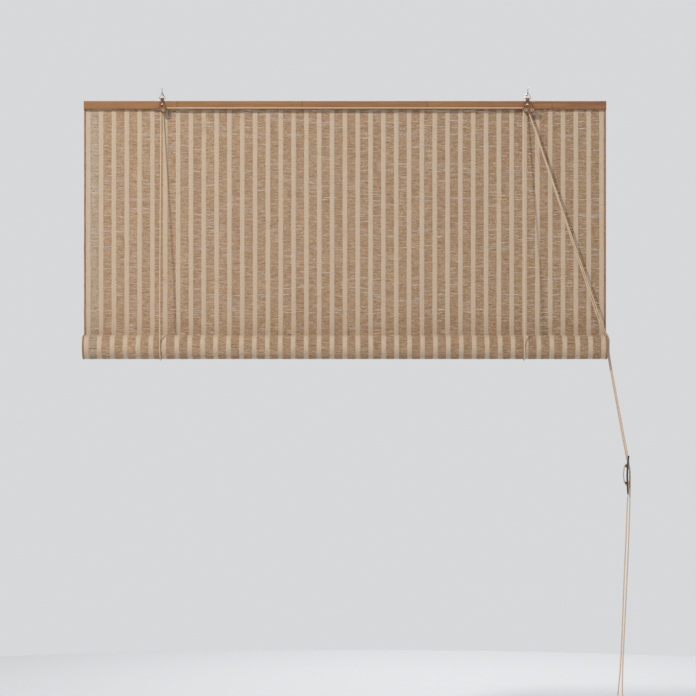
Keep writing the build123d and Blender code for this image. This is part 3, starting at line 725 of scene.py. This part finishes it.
# Pull cords: the same routes as the solids, in millimetres as they were measured
JUNCTION_Z = -530.0
ROUND_ROLL_A = [
    (590.6, -25.4, -545.0),
    (602.8, -25.4, -556.5),
    (602.6, -25.6, -581.0),
    (602.8, -25.2, -603.0),
    (645.0, -8.6, -822.0),
]
ROUND_ROLL_B = [
    (595.8, -28.6, -545.5),
    (605.6, -28.6, -556.5),
    (605.4, -28.8, -581.0),
    (605.6, -28.4, -603.0),
    (648.3, -11.8, -822.0),
]
TAIL_A = [
    (645.0, -8.6, -822.0),
    (648.3, -6.5, -839.0),
    (653.0, -4.9, -853.0),
    (655.0, -4.4, -868.0),
    (655.1, -4.4, -884.0),
    (652.6, -5.1, -898.2),
    (645.6, -6.4, -898.6),
    (641.2, -7.1, -886.0),
    (640.6, -7.4, -870.0),
    (643.0, -8.5, -854.0),
    (647.2, -9.8, -849.6),
    (652.4, -11.0, -851.2),
    (655.0, -10.6, -864.0),
    (655.4, -10.6, -880.0),
    (654.4, -10.9, -897.0),
    (651.6, -10.5, -914.0),
    (649.6, -9.9, -938.0),
    (647.9, -9.8, -985.0),
    (645.6, -9.8, -1040.0),
    (643.0, -9.9, -1095.0),
    (640.7, -10.0, -1150.0),
    (638.7, -10.2, -1205.0),
    (636.5, -10.5, -1260.0),
    (633.9, -10.8, -1315.0),
    (629.6, -11.0, -1364.0),
    (624.4, -10.8, -1408.0),
]
TAIL_B = [
    (648.3, -11.8, -822.0),
    (651.2, -9.8, -839.0),
    (654.1, -8.0, -853.0),
    (655.6, -7.4, -868.0),
    (655.7, -7.4, -884.0),
    (652.9, -8.1, -898.4),
    (645.4, -9.4, -898.8),
    (640.9, -10.1, -886.0),
    (640.2, -10.4, -870.0),
    (642.8, -11.5, -854.0),
    (647.2, -12.8, -849.4),
    (652.6, -14.0, -851.0),
    (655.2, -13.6, -864.0),
    (655.8, -13.6, -880.0),
    (655.7, -13.9, -897.0),
    (655.3, -13.5, -914.0),
    (655.0, -12.9, -938.0),
    (653.7, -12.8, -985.0),
    (651.7, -12.8, -1040.0),
    (649.2, -12.8, -1095.0),
    (646.6, -12.9, -1150.0),
    (643.8, -13.0, -1205.0),
    (641.0, -13.2, -1260.0),
    (638.3, -13.3, -1315.0),
    (637.3, -13.3, -1364.0),
    (640.0, -13.2, -1408.0),
]
COIL_X, COIL_Y, COIL_Z = 0.632, -0.012, -1.430
COIL_RADIUS, COIL_BUNDLE = 0.018, 0.0088


def metres(route):
    return [tuple(v / 1000 for v in point) for point in route]


def wheel_route(y, start_x, leave):
    """Over the wheels at the head, to where the pull cord leaves the inner one."""
    begin = math.pi if start_x is None else math.pi / 2
    over = circle_route((INNER_WHEEL_X, WHEEL_Z), ARC_RADIUS, begin, leave, 5, y=y)
    if start_x is None:
        return over
    first = circle_route((start_x, WHEEL_Z), ARC_RADIUS, math.pi, math.pi / 2, 4, y=y)
    top = WHEEL_Z + ARC_RADIUS
    off_wheel = 0.017
    return [*first, (start_x + off_wheel, y, top), (INNER_WHEEL_X - off_wheel, y, top), *over]


def bundle_spots():
    """One cord's places in half of the coil's bundle: out from the ring's middle, and to the wall."""
    rows = ((0.0014, 6, 1), (0.0039, 5, -1), (0.0063, 3, 1))
    return [(way * ((count - 1) / 2 - i) * CORD, depth) for depth, count, way in rows for i in range(count)]


def coil_route(depth, sign):
    """The put-away length, wound turn beside turn; depth and sign mirror it for the second cord."""
    spots = bundle_spots()
    per_turn = 14
    total = len(spots) * per_turn
    begin = math.radians(90 + 24 * sign)
    further = math.radians(132)
    route = []
    for step in range(total + 1):
        turn, part = divmod(step, per_turn)
        here, after = spots[min(turn, len(spots) - 1)], spots[min(turn + 1, len(spots) - 1)]
        out, back = (a + (b - a) * part / per_turn for a, b in zip(here, after))
        angle = begin + sign * (2 * math.pi * step / per_turn + step / total * further)
        reach = (COIL_RADIUS + out) / math.cos(math.pi / per_turn)
        x, z = COIL_X + reach * math.cos(angle), COIL_Z + reach * math.sin(angle)
        route.append((x, COIL_Y + depth * back, z))
    return route


def end_route(depth, sign):
    """From the coil's lowest side down to the knot."""
    x, y = COIL_X - 0.0022 * sign, COIL_Y + depth * 0.0015
    return [
        (x, COIL_Y + depth * 0.0055, COIL_Z - 0.0275),
        (x, y, COIL_Z - 0.033),
        (x, y, COIL_Z - 0.042),
        (COIL_X - 0.0011 * sign, y, COIL_Z - 0.0505),
    ]


def pull_cord(letter, y, start_x, round_roll, tail, depth, sign):
    """Over the wheels, down past the roll's end to the cleat; returns the hanging stretch."""
    route = metres(round_roll)
    leave = tangent_angle(route[0][0] - INNER_WHEEL_X, route[0][2] - WHEEL_Z, ARC_RADIUS, 1)
    over = wheel_route(y, start_x, leave)
    head, line, length = cord_mesh(f"cord_{letter}_over_wheels", over)
    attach(head, "head")
    if start_x is None:
        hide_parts("right_cord_over_wheel")
    else:
        declare("left_cord_along_head")
    begin = Vector(over[-1])
    share = (JUNCTION_Z / 1000 - begin.z) / (route[0][2] - begin.z)
    junction = begin.lerp(Vector(route[0]), share)
    upper, line, length = cord_mesh(f"pull_cord_{letter}_straight", [tuple(begin), tuple(junction)])
    declare(f"pull_cord_{letter}_upper")
    squash_up(upper)
    lower, line, length = cord_mesh(f"pull_cord_{letter}_round_roll", [tuple(junction), *route])
    declare(f"pull_cord_{letter}_lower")
    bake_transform(lower)
    hanging = metres(tail) + coil_route(depth, sign) + end_route(depth, sign)
    return cord_mesh(f"pull_cord_{letter}_hanging", hanging)


rest_a, line_a, length_a = pull_cord("a", CORD_A_Y, LEFT_WHEEL_X, ROUND_ROLL_A, TAIL_A, 1, 1)
rest_b, line_b, length_b = pull_cord("b", CORD_B_Y, None, ROUND_ROLL_B, TAIL_B, -1, -1)


def knot_mesh(name, centre, size):
    """An overhand knot: one cord round itself as a trefoil."""
    t = np.linspace(0, 2 * np.pi, 40, endpoint=False)
    x = (np.sin(t) + 2 * np.sin(2 * t)) / 3
    y = -np.sin(3 * t) / 2.2
    z = (np.cos(t) - 2 * np.cos(2 * t)) / 3
    path = np.stack([x, y, z], -1) * (size - CORD / 2) + np.array(centre)
    tangents = np.gradient(np.vstack([path[-1:], path, path[:1]]), axis=0)[1:-1]
    rings = cord_rings(path, tangents, (0.3, 0.8, 0.5), 0.0)
    faces = []
    for i in range(len(path)):
        here, after = i * CORD_SIDES, (i + 1) % len(path) * CORD_SIDES
        for j in range(CORD_SIDES):
            k = (j + 1) % CORD_SIDES
            faces.append([here + j, here + k, after + k, after + j])
    made = mesh_object(name, rings.reshape(-1, 3), faces, CORD_STUFF)
    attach(made, "head")
    return made


end_knot = knot_mesh("pull_cord_knot", (COIL_X, COIL_Y, -1.4828), 0.005)
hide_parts("pull_cord_end_knot")
for side, x in (("left", LEFT_CORD_X), ("right", RIGHT_CORD_X)):
    knot = knot_mesh(f"{side}_anchor_knot", (x, -0.0055, -0.024), 0.0034)
    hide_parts("anchor_knots")


def coil_tie(name):
    """The cord's tie: three turns side by side round the coil's top."""
    turns, per_turn = 3, 12
    sunk = 0.0004
    reach = (COIL_BUNDLE + CORD / 2 - sunk) / math.cos(math.pi / per_turn)
    route = []
    for step in range(turns * per_turn + 1):
        angle = 2 * math.pi * step / per_turn
        x = COIL_X + (step / per_turn - turns / 2) * CORD
        route.append((x, COIL_Y + reach * math.cos(angle), COIL_Z + COIL_RADIUS + reach * math.sin(angle)))
    return cord_mesh(name, route)


tie, line, length = coil_tie("coil_tie")
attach(tie, "head")
declare("cord_tie")
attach(rest_a, "head")
declare("pull_cord_a_tail")
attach(rest_b, "head")
declare("pull_cord_b_tail")
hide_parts("cord_coil", "pull_cord_a_end")
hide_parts("pull_cord_b_end")


# Screw threads of the wall hooks, round the shank that is in the wall
def hook_thread(name, x):
    turns, per_turn = 12, 12
    first_y, pitch, half_foot = 0.0015, 0.0016, 0.0004
    foot_radius, crest_base, crest_rise = 0.0011, 0.0013, 0.0005
    total = turns * per_turn
    points, faces = [], []
    for step in range(total + 1):
        angle = 2 * math.pi * step / per_turn
        y = first_y + pitch * step / per_turn
        fade = min(1.0, step / per_turn, (total - step) / per_turn)
        crest_radius = crest_base + crest_rise * fade
        for out, along in ((foot_radius, -half_foot), (crest_radius, 0.0), (foot_radius, half_foot)):
            points.append((x + out * math.cos(angle), y + along, out * math.sin(angle)))
    for step in range(total):
        for k in range(3):
            a, b = step * 3 + k, step * 3 + (k + 1) % 3
            faces.append([a, b, b + 3, a + 3])
    faces += [[0, 1, 2], [total * 3 + 2, total * 3 + 1, total * 3]]
    made = mesh_object(name, points, faces, STEEL, smooth=False)
    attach(made, "head")


hook_thread("left_hook_thread", -HOOK_X)
hook_thread("right_hook_thread", HOOK_X)

# Floor, light and camera
FLOOR_Z, FLOOR_RADIUS = -1.62, 3.2
bpy.ops.mesh.primitive_circle_add(
    vertices=96,
    radius=FLOOR_RADIUS,
    fill_type="NGON",
    location=(0, 0, FLOOR_Z),
)
floor = bpy.context.object
floor.name = "floor"
paint = Shader("pale_floor", Roughness=0.9)
paint.colour(FLOOR_PAINT)
floor.data.materials.append(paint.material)


def lamp(name, place, target, size, power, tint=(1, 1, 1)):
    data = bpy.data.lights.new(name, "AREA")
    data.shape = "DISK"
    data.size = size
    data.energy = power
    data.color = tint
    made = bpy.data.objects.new(name, data)
    made.location = place
    made.rotation_euler = (Vector(target) - Vector(place)).to_track_quat("-Z", "Y").to_euler()
    bpy.context.collection.objects.link(made)


lamp("key", (-2.4, -3.4, 2.6), (0, 0, -0.5), size=0.35, power=165, tint=(1.0, 0.985, 0.965))
lamp("fill", (2.8, -3.6, 0.4), (0, 0, -0.6), size=2.4, power=24, tint=(0.97, 0.985, 1.0))
lamp("back", (0.6, 3.4, 1.6), (0, 0, -0.5), size=2.2, power=90)


def studio_world(seen_colour, lit_colour, lit_strength):
    """A world that looks like a plain backdrop, and lights the part from all round more weakly."""
    world = bpy.data.worlds.new("studio")
    bpy.context.scene.world = world
    world.use_nodes = True
    tree = world.node_tree
    tree.nodes.clear()
    seen = tree.nodes.new("ShaderNodeBackground")
    seen.inputs["Color"].default_value = seen_colour
    lit = tree.nodes.new("ShaderNodeBackground")
    lit.inputs["Color"].default_value = lit_colour
    lit.inputs["Strength"].default_value = lit_strength
    path = tree.nodes.new("ShaderNodeLightPath")
    sees = path.outputs["Is Camera Ray"]
    for ray in ("Is Glossy Ray", "Is Transmission Ray"):
        either = tree.nodes.new("ShaderNodeMath")
        either.operation = "MAXIMUM"
        tree.links.new(sees, either.inputs[0])
        tree.links.new(path.outputs[ray], either.inputs[1])
        sees = either.outputs[0]
    choice = tree.nodes.new("ShaderNodeMixShader")
    tree.links.new(sees, choice.inputs[0])
    tree.links.new(lit.outputs[0], choice.inputs[1])
    tree.links.new(seen.outputs[0], choice.inputs[2])
    out = tree.nodes.new("ShaderNodeOutputWorld")
    tree.links.new(choice.outputs[0], out.inputs[0])


studio_world(BACKDROP, lit_colour=(0.95, 0.97, 1.0, 1.0), lit_strength=0.30)

CAMERA_PLACE = (0.0069, -6.513, -0.5833)
camera = bpy.data.cameras.new("camera")
camera.sensor_width = 36.0
camera.lens = 146.2
camera.clip_end = 60.0
viewer = bpy.data.objects.new("camera", camera)
viewer.location = CAMERA_PLACE
viewer.rotation_euler = (math.pi / 2, 0, 0)
bpy.context.collection.objects.link(viewer)
bpy.context.scene.camera = viewer
bpy.context.scene.view_settings.view_transform = "Standard"
